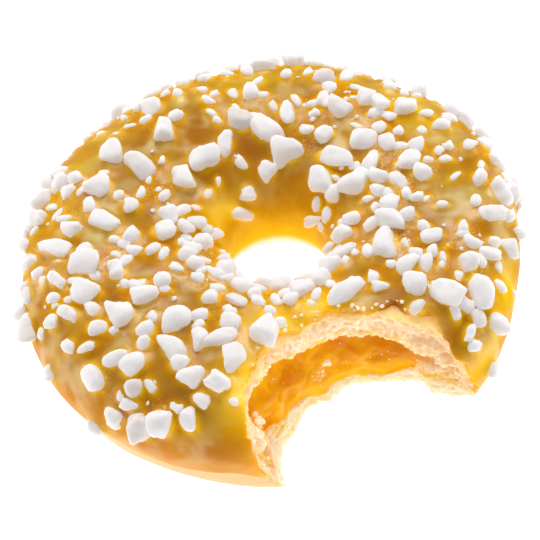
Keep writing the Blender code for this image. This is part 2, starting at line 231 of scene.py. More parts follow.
def add_sky():
    world = bpy.data.worlds.new("studio")
    world.use_nodes = True
    background = world.node_tree.nodes["Background"]
    background.inputs["Color"].default_value = (*WHITE, 1.0)
    background.inputs["Strength"].default_value = SKY_GLOW
    bpy.context.scene.world = world


def add_lamp(name, size, power, place):
    """A flat lamp that faces the middle of the ring."""
    data = bpy.data.lights.new(name, "AREA")
    data.shape = "RECTANGLE"
    data.size, data.size_y = size
    data.energy = power
    lamp = add_object(name, data)
    lamp.location = place
    aim = Vector((0.0, 0.0, MID_HEIGHT)) - Vector(place)
    lamp.rotation_euler = aim.to_track_quat("-Z", "Y").to_euler()


add_floor()
add_sky()
for lamp in LAMPS:
    add_lamp(*lamp)
bpy.context.scene.view_settings.view_transform = "Standard"
print("lamps:", len(LAMPS))

# %% [markdown]
# ## The form of the ring
#
# A proved ring isn't a torus: its section is a rounded square that sags on its underside, the outline waves a
# little and the hole is off centre. All layers share that form, so it is written once, as a function from a
# place on the skin (how far round, where on the section, how deep) to a point. The values are those of the
# solids.

# %% The ring as a function
OUTER_RADIUS = 45.0 * MM
HALF_WIDTH = 17.8 * MM
RING_RADIUS = OUTER_RADIUS - HALF_WIDTH
HALF_HEIGHT = 11.6 * MM
LOWER_HALF_HEIGHT = 13.0 * MM
SQUARENESS = 2.5
# Waves round the ring, amplitude, azimuth of a crest
OUTLINE_WAVES = ((2, 0.30 * MM, 52), (3, 0.49 * MM, 44), (4, 0.36 * MM, 19))
# Azimuth, spread, depth
SWELLS = ((322, 26, 1.2 * MM), (222, 32, 0.7 * MM))
HOLE_OFFSET = Vector((0.76 * MM, -0.61 * MM, 0.0))
LUMP_DEPTH = 0.35 * MM
LUMP_SIZE = 17.0 * MM
LUMP_SHIFTS = (Vector((0.0, 0.0, 0.0)), Vector((31.4, 0.0, 0.0)), Vector((0.0, 27.2, 0.0)))
FLAT_BASE = 2.5 * MM


def signed_power(value, exponent):
    return math.copysign(abs(value) ** exponent, value)


def section_point(angle, inset):
    """(radius, height) on the section: 0 is outermost, 90 on top, 180 nearest the hole."""
    turn = math.radians(angle)
    radius = RING_RADIUS + (HALF_WIDTH - inset) * signed_power(math.cos(turn), 2 / SQUARENESS)
    half_height = HALF_HEIGHT if angle % 360 < 180 else LOWER_HALF_HEIGHT
    height = MID_HEIGHT + (half_height - inset) * signed_power(math.sin(turn), 2 / SQUARENESS)
    return radius, max(height, 0.0)


def spun(turn, radius=1.0, height=0.0):
    """A point that is turned round the axis, by radians from +X."""
    return Vector((radius * math.cos(turn), radius * math.sin(turn), height))


def on_ring(azimuth, angle):
    return spun(math.radians(azimuth), *section_point(angle, 0.0))


def smooth_step(value):
    share = min(max(value, 0.0), 1.0)
    return share * share * (3 - 2 * share)


def rising(value, start, run):
    """0 up to the start, 1 from one run past it. With a negative run it falls instead."""
    return smooth_step((value - start) / run)


def turn_from(start, end):
    """The shortest turn between two directions in degrees. Arrays of directions work too."""
    return (end - start + 180) % 360 - 180


def near_turn(turn, at, spread):
    """1 at the direction `at`, in degrees, falling smoothly to 0 where `turn` is `spread` away from it."""
    return smooth_step(1 - abs(turn_from(at, turn)) / spread)


def swelling(turn, swells):
    return sum(depth * near_turn(math.degrees(turn), at, spread) for at, spread, depth in swells)


def lump(place):
    return Vector([noise.noise(place + shift) for shift in LUMP_SHIFTS])


def settled(point):
    """A point of the perfect ring, moved as uneven dough is."""
    azimuth = math.atan2(point.y, point.x)
    across = (math.hypot(point.x, point.y) - RING_RADIUS) / HALF_WIDTH
    outer_share = smooth_step((across + 1) / 2)
    waves = [size * math.cos(count * (azimuth - math.radians(crest))) for count, size, crest in OUTLINE_WAVES]
    outward = spun(azimuth) * ((sum(waves) + swelling(azimuth, SWELLS)) * outer_share)
    lumps = LUMP_DEPTH * lump(point / LUMP_SIZE)
    lumps.z *= smooth_step(point.z / FLAT_BASE)
    return point + outward + HOLE_OFFSET * (1 - outer_share) + lumps + AXIS


print("top of the ring, mm:", round(section_point(90, 0.0)[1] / MM, 1))

# %% [markdown]
# ## Small helpers for modelling
#
# Operators work on what is selected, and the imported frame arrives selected, so each step starts by clearing
# the selection. Booleans are modifiers that are applied at once. The quick manifold solver suits them,
# because every mesh here is closed. What a finish has to know of a place is painted on the mesh, as a value
# for each point.

# %% Modelling helpers
WELD_DISTANCE = 0.001 * MM


def edit_all(operator, **settings):
    """Runs an operator of edit mode on the whole mesh of the active object."""
    bpy.ops.object.mode_set(mode="EDIT")
    bpy.ops.mesh.select_all(action="SELECT")
    operator(**settings)
    bpy.ops.object.mode_set(mode="OBJECT")


def rolled_grid(name, columns, rows, rule):
    """A flat grid whose every point goes where rule(column, row) says. Edges that meet are welded."""
    bpy.ops.object.select_all(action="DESELECT")
    bpy.ops.mesh.primitive_grid_add(x_subdivisions=columns, y_subdivisions=rows, size=1.0)
    obj = bpy.context.object
    obj.name = name
    obj.data.name = name
    for vertex in obj.data.vertices:
        vertex.co = rule(round((vertex.co.x + 0.5) * columns), round((vertex.co.y + 0.5) * rows))
    edit_all(bpy.ops.mesh.remove_doubles, threshold=WELD_DISTANCE)
    return obj


def shaped_ring(name, section, steps, rule):
    """A ring. section(azimuth) gives its closed outline of (radius, height) points, and the rule moves it."""
    outlines = [section(360 * column / steps) for column in range(steps)]
    rows = len(outlines[0])

    def placed(column, row):
        return spun(2 * math.pi * (column % steps) / steps, *outlines[column % steps][row % rows])

    ring = rolled_grid(name, steps, rows, placed)
    for vertex in ring.data.vertices:
        vertex.co = rule(vertex.co.copy())
    ring.data.update()
    return ring


def cut(obj, cutter):
    """Takes the cutter's shape out of the piece, and drops the cutter."""
    boolean = obj.modifiers.new("cut", "BOOLEAN")
    boolean.operation = "DIFFERENCE"
    boolean.solver = "MANIFOLD"
    boolean.object = cutter
    bpy.ops.object.select_all(action="DESELECT")
    obj.select_set(True)
    bpy.context.view_layer.objects.active = obj
    bpy.ops.object.modifier_apply(modifier=boolean.name)
    bpy.data.objects.remove(cutter, do_unlink=True)


def surface_tree(obj):
    return BVHTree.FromPolygons([v.co for v in obj.data.vertices], [p.vertices for p in obj.data.polygons])


def paint(obj, **paints):
    """Gives each point of the mesh a value under each name."""
    for name, values in paints.items():
        obj.data.attributes.new(name, "FLOAT", "POINT").data.foreach_set("value", values)


def distances(obj, tree, reach):
    """How far each point lies from a surface: 0 on it, 1 at `reach` or more."""
    return [min(tree.find_nearest(vertex.co)[3] / reach, 1.0) for vertex in obj.data.vertices]


def finish_piece(obj, replaced, material):
    """Gives a finished piece its look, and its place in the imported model."""
    obj.data.materials.clear()
    obj.data.materials.append(material)
    obj.data.polygons.foreach_set("material_index", [0] * len(obj.data.polygons))
    obj.data.shade_smooth()
    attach(obj, "root")
    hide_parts(replaced)
    print(obj.name, "faces:", len(obj.data.polygons))


# %% [markdown]
# ## Icing finish
#
# The icing is fat and sugar coloured lemon, a little see-through. Much of its light and shade is painted: a
# lit and a shaded copy of its colour, mixed by how far each point faces up; painted shade, mustard to brown,
# on slopes that face back, between crowded nibs and on thick patches; a paler painted sheen where it is
# glossy and a darker painted shade where it is dull; and clear yellow with a painted glow where light would
# get in, as down the hole, on the low flank, round each nib, at the bite's edge and on thin patches. Its
# gloss comes in patches, and the flanks are dry. One painted picture could hold all that, but it would have
# seams, so each cause is a coat of its own. The light under the skin carries red furthest and blue hardly at
# all.

# %% Icing material
def icing_material():
    finish = Finish(
        "lemon_icing",
        Subsurface_Weight=0.7,
        Subsurface_Radius=(1.0, 0.72, 0.15),
        Subsurface_Scale=1.6 * MM,
        Specular_IOR_Level=0.02,
        IOR=1.42,
        Coat_IOR=1.8,
        Coat_Roughness=0.36,
        Emission_Strength=1.0,
    )
    near_nib = finish.painted("near_nib")
    in_hole = finish.painted("glow_in_hole")
    outside = finish.painted("glow_outside")
    backward = finish.painted("backward")
    crowded = finish.painted("crowded")
    lit = finish.painted("lit")
    thick = finish.painted("thick")
    thin = finish.painted("thin")
    cloud = finish.noise(8 * MM, detail=4.0)
    # Shaded and lit copies of the icing's colour: painted shade and painted light, mixed below by how far
    # each point faces up.
    in_shade = ((0.34, (0.60, 0.17, 0.009)), (0.48, (0.76, 0.30, 0.014)), (0.62, (0.82, 0.40, 0.010)))
    in_light = ((0.34, (0.40, 0.145, 0.009)), (0.48, (0.50, 0.26, 0.018)), (0.62, (0.60, 0.40, 0.050)))
    # Patches of real gloss; under them the base colour also gets a paler painted sheen.
    gloss_and_sheen = finish.mask(finish.noise(6 * MM), 0.38, 0.66)
    fleck = finish.mask(finish.noise(2.6 * MM, detail=3.0), 0.50, 0.64) * (1 - outside)
    sugar = finish.mask(finish.noise(0.45 * MM), 0.55, 0.66) * finish.mask(finish.noise(6.5 * MM), 0.50, 0.60)
    base = finish.layers(
        finish.mix(lit, finish.ramp(cloud, in_shade), finish.ramp(cloud, in_light)),
        # A darker painted shade where the icing is dull, and a paler painted sheen where it is glossy.
        ((1 - gloss_and_sheen) * 0.4, (0.44, 0.145, 0.010)),
        (gloss_and_sheen * 0.5, (0.66, 0.50, 0.050)),
        # Painted shade on slopes that face back.
        (backward, (0.24, 0.10, 0.004)),
        # Paler on the low flank: thinner icing over the dough, and painted light from the table.
        (outside, (0.69, 0.295, 0.062)),
        # Paler yellow down the hole: painted light.
        (in_hole, (0.78, 0.45, 0.0004)),
        # Painted shade between crowded nibs.
        (crowded * 0.6, (0.67, 0.235, 0.006)),
        (fleck * (0.25 + 0.6 * crowded), (0.58, 0.185, 0.008)),
        # Painted shade on thick patches.
        (thick * finish.mask(cloud, 0.25, 0.55), (0.40, 0.118, 0.008)),
        # Yellow on thin patches: thinner icing, and painted light.
        (thin * 0.8, (0.90, 0.56, 0.003)),
        (sugar * 0.5 * crowded * (1 - in_hole), (0.95, 0.80, 0.50)),
        # Clear yellow round each nib: painted light.
        (near_nib * 0.6 * (1 - 0.4 * lit), (0.92, 0.55, 0.002)),
    )
    # Painted glow down the hole, brighter and paler towards its foot.
    painted_hole_glow = (
        (0.00, (0.00, 0.000, 0.000)),
        (0.30, (0.12, 0.070, 0.0004)),
        (0.50, (0.22, 0.160, 0.0004)),
        (0.68, (0.31, 0.240, 0.0004)),
        (0.71, (0.30, 0.250, 0.010)),
        (0.74, (0.34, 0.340, 0.160)),
        (0.78, (0.38, 0.440, 0.440)),
        (0.84, (0.42, 0.560, 0.680)),
    )
    # Painted glow on the low flank, as if lit from the table through the icing.
    flank_glow = finish.ramp(outside, ((0.2, (0.0, 0.0, 0.0)), (0.7, (0.08, 0.032, 0.005))))
    # The glow is all painted light: down the hole, round each nib, on the low flank, at the bite's broken
    # edge and on thin patches.
    glow = finish.layers(
        finish.ramp(in_hole, painted_hole_glow),
        # Painted glow round each nib.
        (near_nib * near_nib * finish.mask(finish.noise(5 * MM), 0.3, 0.7) * 0.28, (1.0, 0.70, 0.004)),
        (outside, flank_glow),
        # Painted glow at the bite's broken edge.
        (finish.painted("near_bite") * 0.30 * (1 - thick), (0.90, 0.47, 0.002)),
        # Painted glow on thin patches.
        (thin * 0.16, (1.0, 0.60, 0.002)),
    )
    peel = finish.noise(0.55 * MM)
    dimples = finish.noise(2.2 * MM)
    roughness = 0.30 + 0.22 * finish.noise(3.5 * MM, detail=3.0)
    normal = finish.bump(peel * 0.35 + dimples * 0.65, 0.10 * MM, 0.6)
    dry = 1.8 * in_hole + 0.8 * outside + 0.8 * thick + 1.5 * backward
    wet = gloss_and_sheen * finish.mask(1 - dry, 0.0, 1.0)
    return finish.use(
        Base_Color=base, Roughness=roughness, Normal=normal, Emission_Color=glow, Coat_Weight=wet
    )


# %% [markdown]
# ## Meringue finish
#
# Baked sugar foam is chalk white and matt. Light goes a little way into it, which rounds off its shadows, and
# now and then a nib has soaked up fat and turned a little grey and smooth. Plain white would look like
# plaster, so the shader has a large subsurface share and a faint painted glow, which lifts the nibs' shade.

# %% Meringue material
def meringue_material():
    finish = Finish(
        "meringue",
        Subsurface_Weight=0.8,
        Subsurface_Radius=(1.0, 0.85, 0.85),
        Subsurface_Scale=1.3 * MM,
        Specular_IOR_Level=0.25,
        IOR=1.4,
        Emission_Strength=0.14,
    )
    soaked = finish.painted("soaked")
    colour = finish.mix(soaked, (0.77, 0.755, 0.75), (0.68, 0.63, 0.60))
    chalk = finish.noise(0.28 * MM, detail=3.0)
    dents = finish.noise(1.0 * MM, detail=3.0)
    roughness = 0.72 - 0.35 * soaked
    normal = finish.bump(chalk * 0.25 + dents * 0.75, 0.25 * MM, 0.8)
    # The faint near-white glow is painted light that lifts the nibs' shade.
    return finish.use(
        Base_Color=colour, Roughness=roughness, Normal=normal, Emission_Color=(1.0, 0.95, 0.94)
    )


# %% [markdown]
# ## Dough finish
#
# Outside, the dough has a thin fried crust with a pale band above its brown foot. Inside, it is a pale,
# springy crumb, stained where the gel lay. Its hollows and the bite's ends get painted shade, the lip under
# the gel a painted light that makes it lightest, and all of the dough a faint painted glow, weaker low down.
# How deep a point lies under the crust is painted on the mesh, so that one material turns from crust to crumb
# as the real dough does, with no seam between two.

# %% Dough material
def dough_material():
    finish = Finish(
        "fried_dough",
        Subsurface_Weight=0.8,
        Subsurface_Radius=(1.0, 0.85, 0.60),
        Subsurface_Scale=2.0 * MM,
        Specular_IOR_Level=0.2,
        IOR=1.4,
        Emission_Strength=0.30,
    )
    high = finish.painted("high_on_wall")
    blotch = finish.noise(6 * MM, detail=4.0)
    crust = finish.layers(
        (0.64, 0.34, 0.12),
        (finish.mask(blotch, 0.3, 0.7), (0.54, 0.25, 0.07)),
        (finish.painted("pale_band"), (0.86, 0.58, 0.30)),
        (high, (0.96, 0.66, 0.26)),
    )
    threads = finish.mask(finish.noise(0.9 * MM, detail=3.0), 0.48, 0.60)
    hollow_shade = finish.mask(finish.painted("pushed_in") + 0.5 * finish.noise(1.8 * MM, detail=3.0), 0.15, 0.95)
    stain = (1 - finish.painted("from_gel")) * finish.mask(finish.noise(1.6 * MM, detail=3.0), 0.38, 0.60)
    crumb = finish.layers(
        (0.93, 0.70, 0.44),
        (threads, (1.0, 0.88, 0.70)),
        # Painted shade in the crumb's hollows.
        (hollow_shade, (0.82, 0.46, 0.14)),
        (stain, (0.97, 0.55, 0.05)),
        (finish.painted("smear"), (0.96, 0.60, 0.10)),
        # Painted shade towards the bite's ends.
        (0.6 * finish.painted("bite_ends"), (0.66, 0.40, 0.16)),
    )
    pores = finish.noise(0.5 * MM, detail=4.0, roughness=0.65)
    colour = finish.layers(
        crust,
        (finish.mask(finish.painted("depth"), 0.08, 0.35), crumb),
        # Paler on the lip under the gel: painted light.
        (0.8 * finish.painted("lower_lip"), (1.0, 0.86, 0.62)),
        (finish.mask(pores, 0.46, 0.60) * 0.4, (0.94, 0.64, 0.32)),
    )
    normal = finish.bump(pores, 0.35 * MM, 0.8)
    # Painted light: all the dough glows faintly in its own colour, less low down.
    glow = finish.mix(0.45 * (1 - high), colour, (0.0, 0.0, 0.0))
    return finish.use(Base_Color=colour, Roughness=0.62 + 0.2 * blotch, Normal=normal, Emission_Color=glow)


# %% [markdown]
# ## Filling finish
#
# The lemon gel is wet and see-through: deep orange at the right of the bite, where it is thick, and yellow at
# its foot, a painted light where light would come through it. Real refraction would be slow and full of
# noise, so a subsurface share that keeps all blue out does its work, with a faint painted glow in the gel's
# own colour and small wet glints on top.

# %% Filling material
def filling_material():
    finish = Finish(
        "lemon_gel",
        Subsurface_Weight=0.9,
        Subsurface_Radius=(1.0, 0.60, 0.02),
        Subsurface_Scale=2.0 * MM,
        Specular_IOR_Level=0.04,
        IOR=1.42,
        Coat_Roughness=0.12,
        Emission_Strength=0.22,
    )
    stops = ((0.36, (0.70, 0.22, 0.0004)), (0.50, (0.78, 0.32, 0.0004)), (0.66, (0.86, 0.44, 0.001)))
    colour = finish.layers(
        finish.ramp(finish.noise(5 * MM, detail=5.0), stops),
        (finish.painted("deep"), (0.60, 0.20, 0.0004)),
        # Yellow at the foot stands in for light coming through: painted light.
        (finish.painted("at_foot"), (0.88, 0.43, 0.002)),
    )
    normal = finish.bump(finish.noise(0.9 * MM, detail=4.0), 0.35 * MM, 0.5)
    shine = 0.18 + 0.3 * finish.noise(2 * MM)
    wet = 0.3 * finish.mask(finish.noise(1.6 * MM), 0.52, 0.66)
    # The gel glows faintly in its own colour: painted light.
    return finish.use(
        Base_Color=colour, Roughness=shine, Normal=normal, Emission_Color=colour, Coat_Weight=wet
    )


# %% [markdown]
# ## The bite
#
# A mouth takes out a leaning drum of doughnut with a row of tooth marks, and its foot stands back in steps. A
# plain cylinder would leave a wall too smooth, so the wall is a function from a direction and a height to a
# reach, and each piece adds its own torn relief. The drum is a flat grid, rolled up and capped, whose points
# follow that function. What it cuts takes its wall as a new surface.

# %% The bite's wall
BITE_RADIUS = 20.7 * MM
BITE_TOP = Vector((12.4 * MM, -42.5 * MM, 22.0 * MM))
BITE_FOOT = Vector((17.0 * MM, -42.0 * MM, 1.5 * MM))
TOOTH_PITCH = 27
TOOTH_START = 10
TOOTH_DEPTH = 1.0 * MM
TOOTH_MEAN = 0.6
TEAR_DEPTH = 0.55 * MM
TEAR_SIZE = 3.6 * MM
# Direction, spread, depth
FOOT_STEPS = ((182, 32, -1.4 * MM), (110, 50, 0.9 * MM), (56, 20, -0.5 * MM), (38, 16, 1.0 * MM))
FOOT_TOP = 8.0 * MM
FOOT_FULL = 2.0 * MM
OVAL_EDGE = 1.25
OVAL_FADE = 0.6


def bite_centre(height):
    share = (height - BITE_TOP.z) / (BITE_FOOT.z - BITE_TOP.z)
    return BITE_TOP.lerp(BITE_FOOT, share)


def off_centre(place):
    """Level steps from the bite's centre to a place. Both are relative to the ring's axis."""
    centre = bite_centre(place.z)
    return place.x - centre.x, place.y - centre.y


def bite_reach(turn, height):
    """How far the bite's even wall stands from its centre: tooth marks, torn waves, and steps at the foot."""
    tooth = abs(math.sin(math.pi * (math.degrees(turn) - TOOTH_START) / TOOTH_PITCH))
    place = spun(turn) * BITE_RADIUS + Vector((0, 0, height))
    foot = smooth_step((FOOT_TOP - height) / (FOOT_TOP - FOOT_FULL))
    torn = TEAR_DEPTH * noise.noise(place / TEAR_SIZE)
    return BITE_RADIUS + TOOTH_DEPTH * (tooth - TOOTH_MEAN) + torn + foot * swelling(turn, FOOT_STEPS)


def wall_turn(place):
    """Where a place lies round the bite, in degrees."""
    x, y = off_centre(place)
    return math.degrees(math.atan2(y, x))


def wall_gap(place):
    """How far outside the bite's even wall a place lies."""
    x, y = off_centre(place)
    return math.hypot(x, y) - bite_reach(math.atan2(y, x), place.z)


def inside_bite(place, margin):
    return math.hypot(*off_centre(place)) < BITE_RADIUS + margin


def in_oval(place, turn, height, reach_along, reach_up):
    """1 in the middle of an oval on the bite's wall, 0 outside it, with a steep edge."""
    along = turn_from(turn, wall_turn(place)) * math.radians(1) * BITE_RADIUS / reach_along
    return smooth_step((OVAL_EDGE - math.hypot(along, (place.z - height) / reach_up)) / OVAL_FADE)


def pushed(place, ovals):
    """The sum of the pushes of ovals, each of which ends with its push into the dough."""
    return sum(push * in_oval(place, *oval) for *oval, push in ovals)


def tearing(place, depth, size, dimension, lacunarity, octaves):
    """Torn relief about `depth` deep, whose largest features are about `size` across."""
    return depth * noise.fractal(place / size, dimension, lacunarity, octaves)


# %% The drum that bites
BITE_OVERRUN = 6.0 * MM


def bite_drum(relief, set_back, spacing):
    """A drum whose wall has a point every `spacing` and is pushed out by relief(place)."""
    low = -BITE_OVERRUN
    high = MID_HEIGHT + HALF_HEIGHT + BITE_OVERRUN
    levels = round((high - low) / spacing)
    steps = round(2 * math.pi * BITE_RADIUS / spacing)

    def bitten(column, row):
        height = low + (high - low) * row / levels
        centre = bite_centre(height)
        centre.z = height
        around = spun(2 * math.pi * (column % steps) / steps)
        reach = bite_reach(math.atan2(around.y, around.x), height) + set_back
        return centre + around * (reach + relief(centre + around * reach)) + AXIS

    drum = rolled_grid("bite_drum", steps, levels, bitten)
    edit_all(bpy.ops.mesh.fill_holes, sides=0)
    return drum


# %% [markdown]
# ## The dough
#
# The dough is spun from its section, moved as uneven dough is, hollowed for the filling and bitten. Below the
# icing its bare fried rim swells out to the icing's edge. The crumb tears rather than cuts, in flaps, strands
# and granules with open pores between them. Noise of a few sizes gives those, and ovals on the wall add the
# larger forms that the picture shows.

# %% The channel of the filling
FILLING_RADIUS = 25.0 * MM
FILLING_HALF_WIDTH = 7.0 * MM
FILLING_HALF_HEIGHT = 7.0 * MM
FILLING_MID_HEIGHT = 9.1 * MM
FILLING_BULGE_OUT = 5.0 * MM
FILLING_BULGE_UP = 4.6 * MM
FILLING_BULGE_AZIMUTH = 257
FILLING_BULGE_CORE = 6
FILLING_BULGE_SPREAD = 20
FILLING_SECTION_POINTS = 90
FILLING_STEPS = 480
RAGGED_SKIN = (1.0 * MM, 3.2 * MM, 0.8, 2.1, 4)


def bulged(point):
    """A point of the filling's even ring, moved out and up where the filling was piped towards the skin."""
    azimuth = math.atan2(point.y, point.x)
    off = abs(turn_from(FILLING_BULGE_AZIMUTH, math.degrees(azimuth)))
    share = 1 - rising(off, FILLING_BULGE_CORE, FILLING_BULGE_SPREAD)
    across = (math.hypot(point.x, point.y) - FILLING_RADIUS) / FILLING_HALF_WIDTH
    push = spun(azimuth) * FILLING_BULGE_OUT
    push.z = FILLING_BULGE_UP
    return point + push * (share * smooth_step((across + 1) / 2))


def ragged(point):
    """A point of the filling's skin, moved as the crumb round a gel is: ragged, bulged and settled."""
    core = spun(math.atan2(point.y, point.x), FILLING_RADIUS, FILLING_MID_HEIGHT)
    push = tearing(point, *RAGGED_SKIN)
    return settled(bulged(point + (point - core).normalized() * push))


def filling_ring(name, margin):
    """The filling's ring, a little wider by the margin."""
    outline = []
    for i in range(FILLING_SECTION_POINTS):
        turn = 2 * math.pi * i / FILLING_SECTION_POINTS
        radius = FILLING_RADIUS + (FILLING_HALF_WIDTH + margin) * math.cos(turn)
        height = FILLING_MID_HEIGHT + (FILLING_HALF_HEIGHT + margin) * math.sin(turn)
        outline.append((radius, height))
    return shaped_ring(name, lambda azimuth: outline, FILLING_STEPS, ragged)


# %% Torn crumb
# Turn round the bite, height, reach along, reach up, push into the dough
CRUMB_FORMS = (
    (66, 15.2 * MM, 7.0 * MM, 1.9 * MM, -1.3 * MM),
    (60, 10.3 * MM, 5.5 * MM, 2.2 * MM, 1.2 * MM),
    (50, 12.5 * MM, 1.3 * MM, 1.5 * MM, -1.2 * MM),
    (46, 10.0 * MM, 1.0 * MM, 1.0 * MM, -1.0 * MM),
    (122, 18.4 * MM, 9.0 * MM, 1.3 * MM, -0.5 * MM),
    (165, 13.0 * MM, 2.2 * MM, 1.6 * MM, -0.9 * MM),
    (174, 12.2 * MM, 1.2 * MM, 1.1 * MM, -1.0 * MM),
    (170, 7.4 * MM, 2.4 * MM, 2.8 * MM, 1.3 * MM),
)
# Depth, size, dimension, lacunarity, octaves
FLAPS = (0.55 * MM, 3.4 * MM, 0.9, 2.2, 3)
GRANULES = (0.42 * MM, 0.9 * MM, 0.8, 2.1, 2)
STRANDS = (0.35 * MM, 1.0, 0.9, 2.1, 2)
STRAND_LENGTH = 2.8 * MM
STRAND_WIDTH = 0.8 * MM
CRUMB_WARPS = ((1.2 * MM, 2.2 * MM), (0.5 * MM, 0.9 * MM))
PORE_SIZE = 1.7 * MM
PORE_RADIUS = 0.36
PORE_DEPTH = 0.9 * MM


def torn_crumb(place):
    """Relief of torn crumb on the wall, positive into the dough: flaps, strands, granules, and open pores."""
    warped = place.copy()
    for depth, size in CRUMB_WARPS:
        warped += depth * lump(place / size)
    along = math.radians(wall_turn(place)) * BITE_RADIUS / STRAND_LENGTH
    strands = tearing(Vector((along, place.z / STRAND_WIDTH, 0.0)), *STRANDS)
    torn = pushed(warped, CRUMB_FORMS) + strands + tearing(place, *FLAPS) + tearing(place, *GRANULES)
    pore = noise.voronoi(place / PORE_SIZE)[0][0]
    return torn + PORE_DEPTH * max(0.0, PORE_RADIUS - pore)


# %% Dough piece
ICING_THICKNESS = 1.1 * MM
ICING_EDGE_OUTSIDE = -10
ICING_EDGE_INSIDE = 208
# Degrees on the section, changes round the ring
EDGE_WAVES = ((7.0, 2.6), (3.5, 7.0))
RIM_SWELL = 0.9 * MM
RIM_SWELL_START = 2
RIM_SWELL_RUN = 20
DOUGH_OVERLAP = 0.05 * MM
DOUGH_SECTION_POINTS = 110
DOUGH_STEPS = 260
CRUST_DEPTH = 3.0 * MM
STAIN_REACH = 2.2 * MM
DEEPEST_HOLLOW = 2.0
# Turn round the bite, height, reach along, reach up
SMEARS = (
    (58, 4.6 * MM, 4.5 * MM, 1.8 * MM),
    (74, 9.0 * MM, 1.8 * MM, 2.5 * MM),
    (170, 6.8 * MM, 1.6 * MM, 2.2 * MM),
    (150, 3.5 * MM, 2.0 * MM, 2.0 * MM),
)
# Where each begins, and the run over which it rises or falls
HIGH_ON_WALL = (4 * MM, 12 * MM)
PALE_BAND = (2 * MM, 3 * MM)
LIP_HEIGHT = (5 * MM, -2 * MM)
LIP_REACH = (3 * MM, -1 * MM)
# Where the crumb gets painted shade, towards both ends of the bite
# Turn round the bite, spread, strength
SHADED_BITE_ENDS = ((40, 40, 1.0), (172, 30, 0.6))


def icing_edges(azimuth):
    """Section angles of the icing's lower edges, outside and inside. The dip left them wavy."""
    place = spun(math.radians(azimuth))
    wave = sum(size * noise.noise(place * rate) for size, rate in EDGE_WAVES)
    return ICING_EDGE_OUTSIDE + wave, ICING_EDGE_INSIDE + wave


def dough_outline(azimuth):
    """The dough touches the icing from inside on top, and swells out below the icing's edges."""
    outside, inside = icing_edges(azimuth)
    points = []
    for i in range(DOUGH_SECTION_POINTS):
        angle = i * 360 / DOUGH_SECTION_POINTS
        inset = ICING_THICKNESS - DOUGH_OVERLAP
        if (angle - outside) % 360 > inside - outside:
            bare = min((angle - inside) % 360, (outside - angle) % 360)
            inset -= RIM_SWELL * rising(bare, RIM_SWELL_START, RIM_SWELL_RUN)
        points.append(section_point(angle, inset))
    return points


def paint_dough(dough):
    """Paints where on the wall each point lies, for the shades of crust and crumb, the painted shade at the
    bite's ends and the painted light on the lip.
    """
    places = [vertex.co - AXIS for vertex in dough.data.vertices]
    turns = [wall_turn(place) for place in places]
    # Where the lip under the gel lies, for its painted light.
    lip = [rising(place.z, *LIP_HEIGHT) * rising(wall_gap(place), *LIP_REACH) for place in places]
    # How near each end of the bite a point lies, for its painted shade.
    ends = [max(share * near_turn(turn, at, spread) for at, spread, share in SHADED_BITE_ENDS) for turn in turns]
    paint(
        dough,
        pushed_in=[min(wall_gap(place) / MM, DEEPEST_HOLLOW) for place in places],
        smear=[max(in_oval(place, *oval) for oval in SMEARS) for place in places],
        high_on_wall=[rising(place.z, *HIGH_ON_WALL) for place in places],
        pale_band=[rising(place.z, *PALE_BAND) for place in places],
        bite_ends=ends,
        lower_lip=lip,
    )


def build_dough():
    dough = shaped_ring("dough_crumb", dough_outline, DOUGH_STEPS, settled)
    crust = surface_tree(dough)
    channel = filling_ring("channel", margin=0.0)
    skin_of_gel = surface_tree(channel)
    cut(dough, channel)
    cut(dough, bite_drum(torn_crumb, set_back=0.0, spacing=0.2 * MM))
    from_gel = distances(dough, skin_of_gel, STAIN_REACH)
    paint(dough, depth=distances(dough, crust, CRUST_DEPTH), from_gel=from_gel)
    paint_dough(dough)
    finish_piece(dough, "dough", dough_material())


build_dough()

# %% [markdown]
# ## The filling
#
# The gel fills the channel. Its torn face lies in soft folds, a little behind the crumb, and tucks in under
# the crumb on top. It is the channel's own ring again, a hair wider, so that no gap shows between gel and
# crumb.

# %% Filling piece
GEL_OVERLAP = 0.05 * MM
GEL_SET_BACK = 0.3 * MM
GEL_TUCK = 0.9 * MM
# Depth, size
GEL_FOLDS = ((0.55 * MM, 4.2 * MM), (0.25 * MM, 1.5 * MM))
GEL_FOOT = (4 * MM, 5 * MM)
# Turn round the bite, spread
DEEP_GEL = (76, 34)


def smooth_gel(place):
    """Relief of the gel: soft folds, tucked in under the crumb on top."""
    folds = sum(depth * noise.noise(place / size) for depth, size in GEL_FOLDS)
    return folds + GEL_TUCK * rising(place.z, FILLING_MID_HEIGHT, FILLING_HALF_HEIGHT)


def build_filling():
    filling = filling_ring("lemon_gel", GEL_OVERLAP)
    cut(filling, bite_drum(smooth_gel, GEL_SET_BACK, spacing=0.25 * MM))
    places = [vertex.co.copy() for vertex in filling.data.vertices]
    turns = [wall_turn(place - AXIS) for place in places]
    at_foot = [1 - rising(place.z, *GEL_FOOT) for place in places]
    paint(filling, at_foot=at_foot, deep=[near_turn(turn, *DEEP_GEL) for turn in turns])
    finish_piece(filling, "lemon_filling", filling_material())


build_filling()
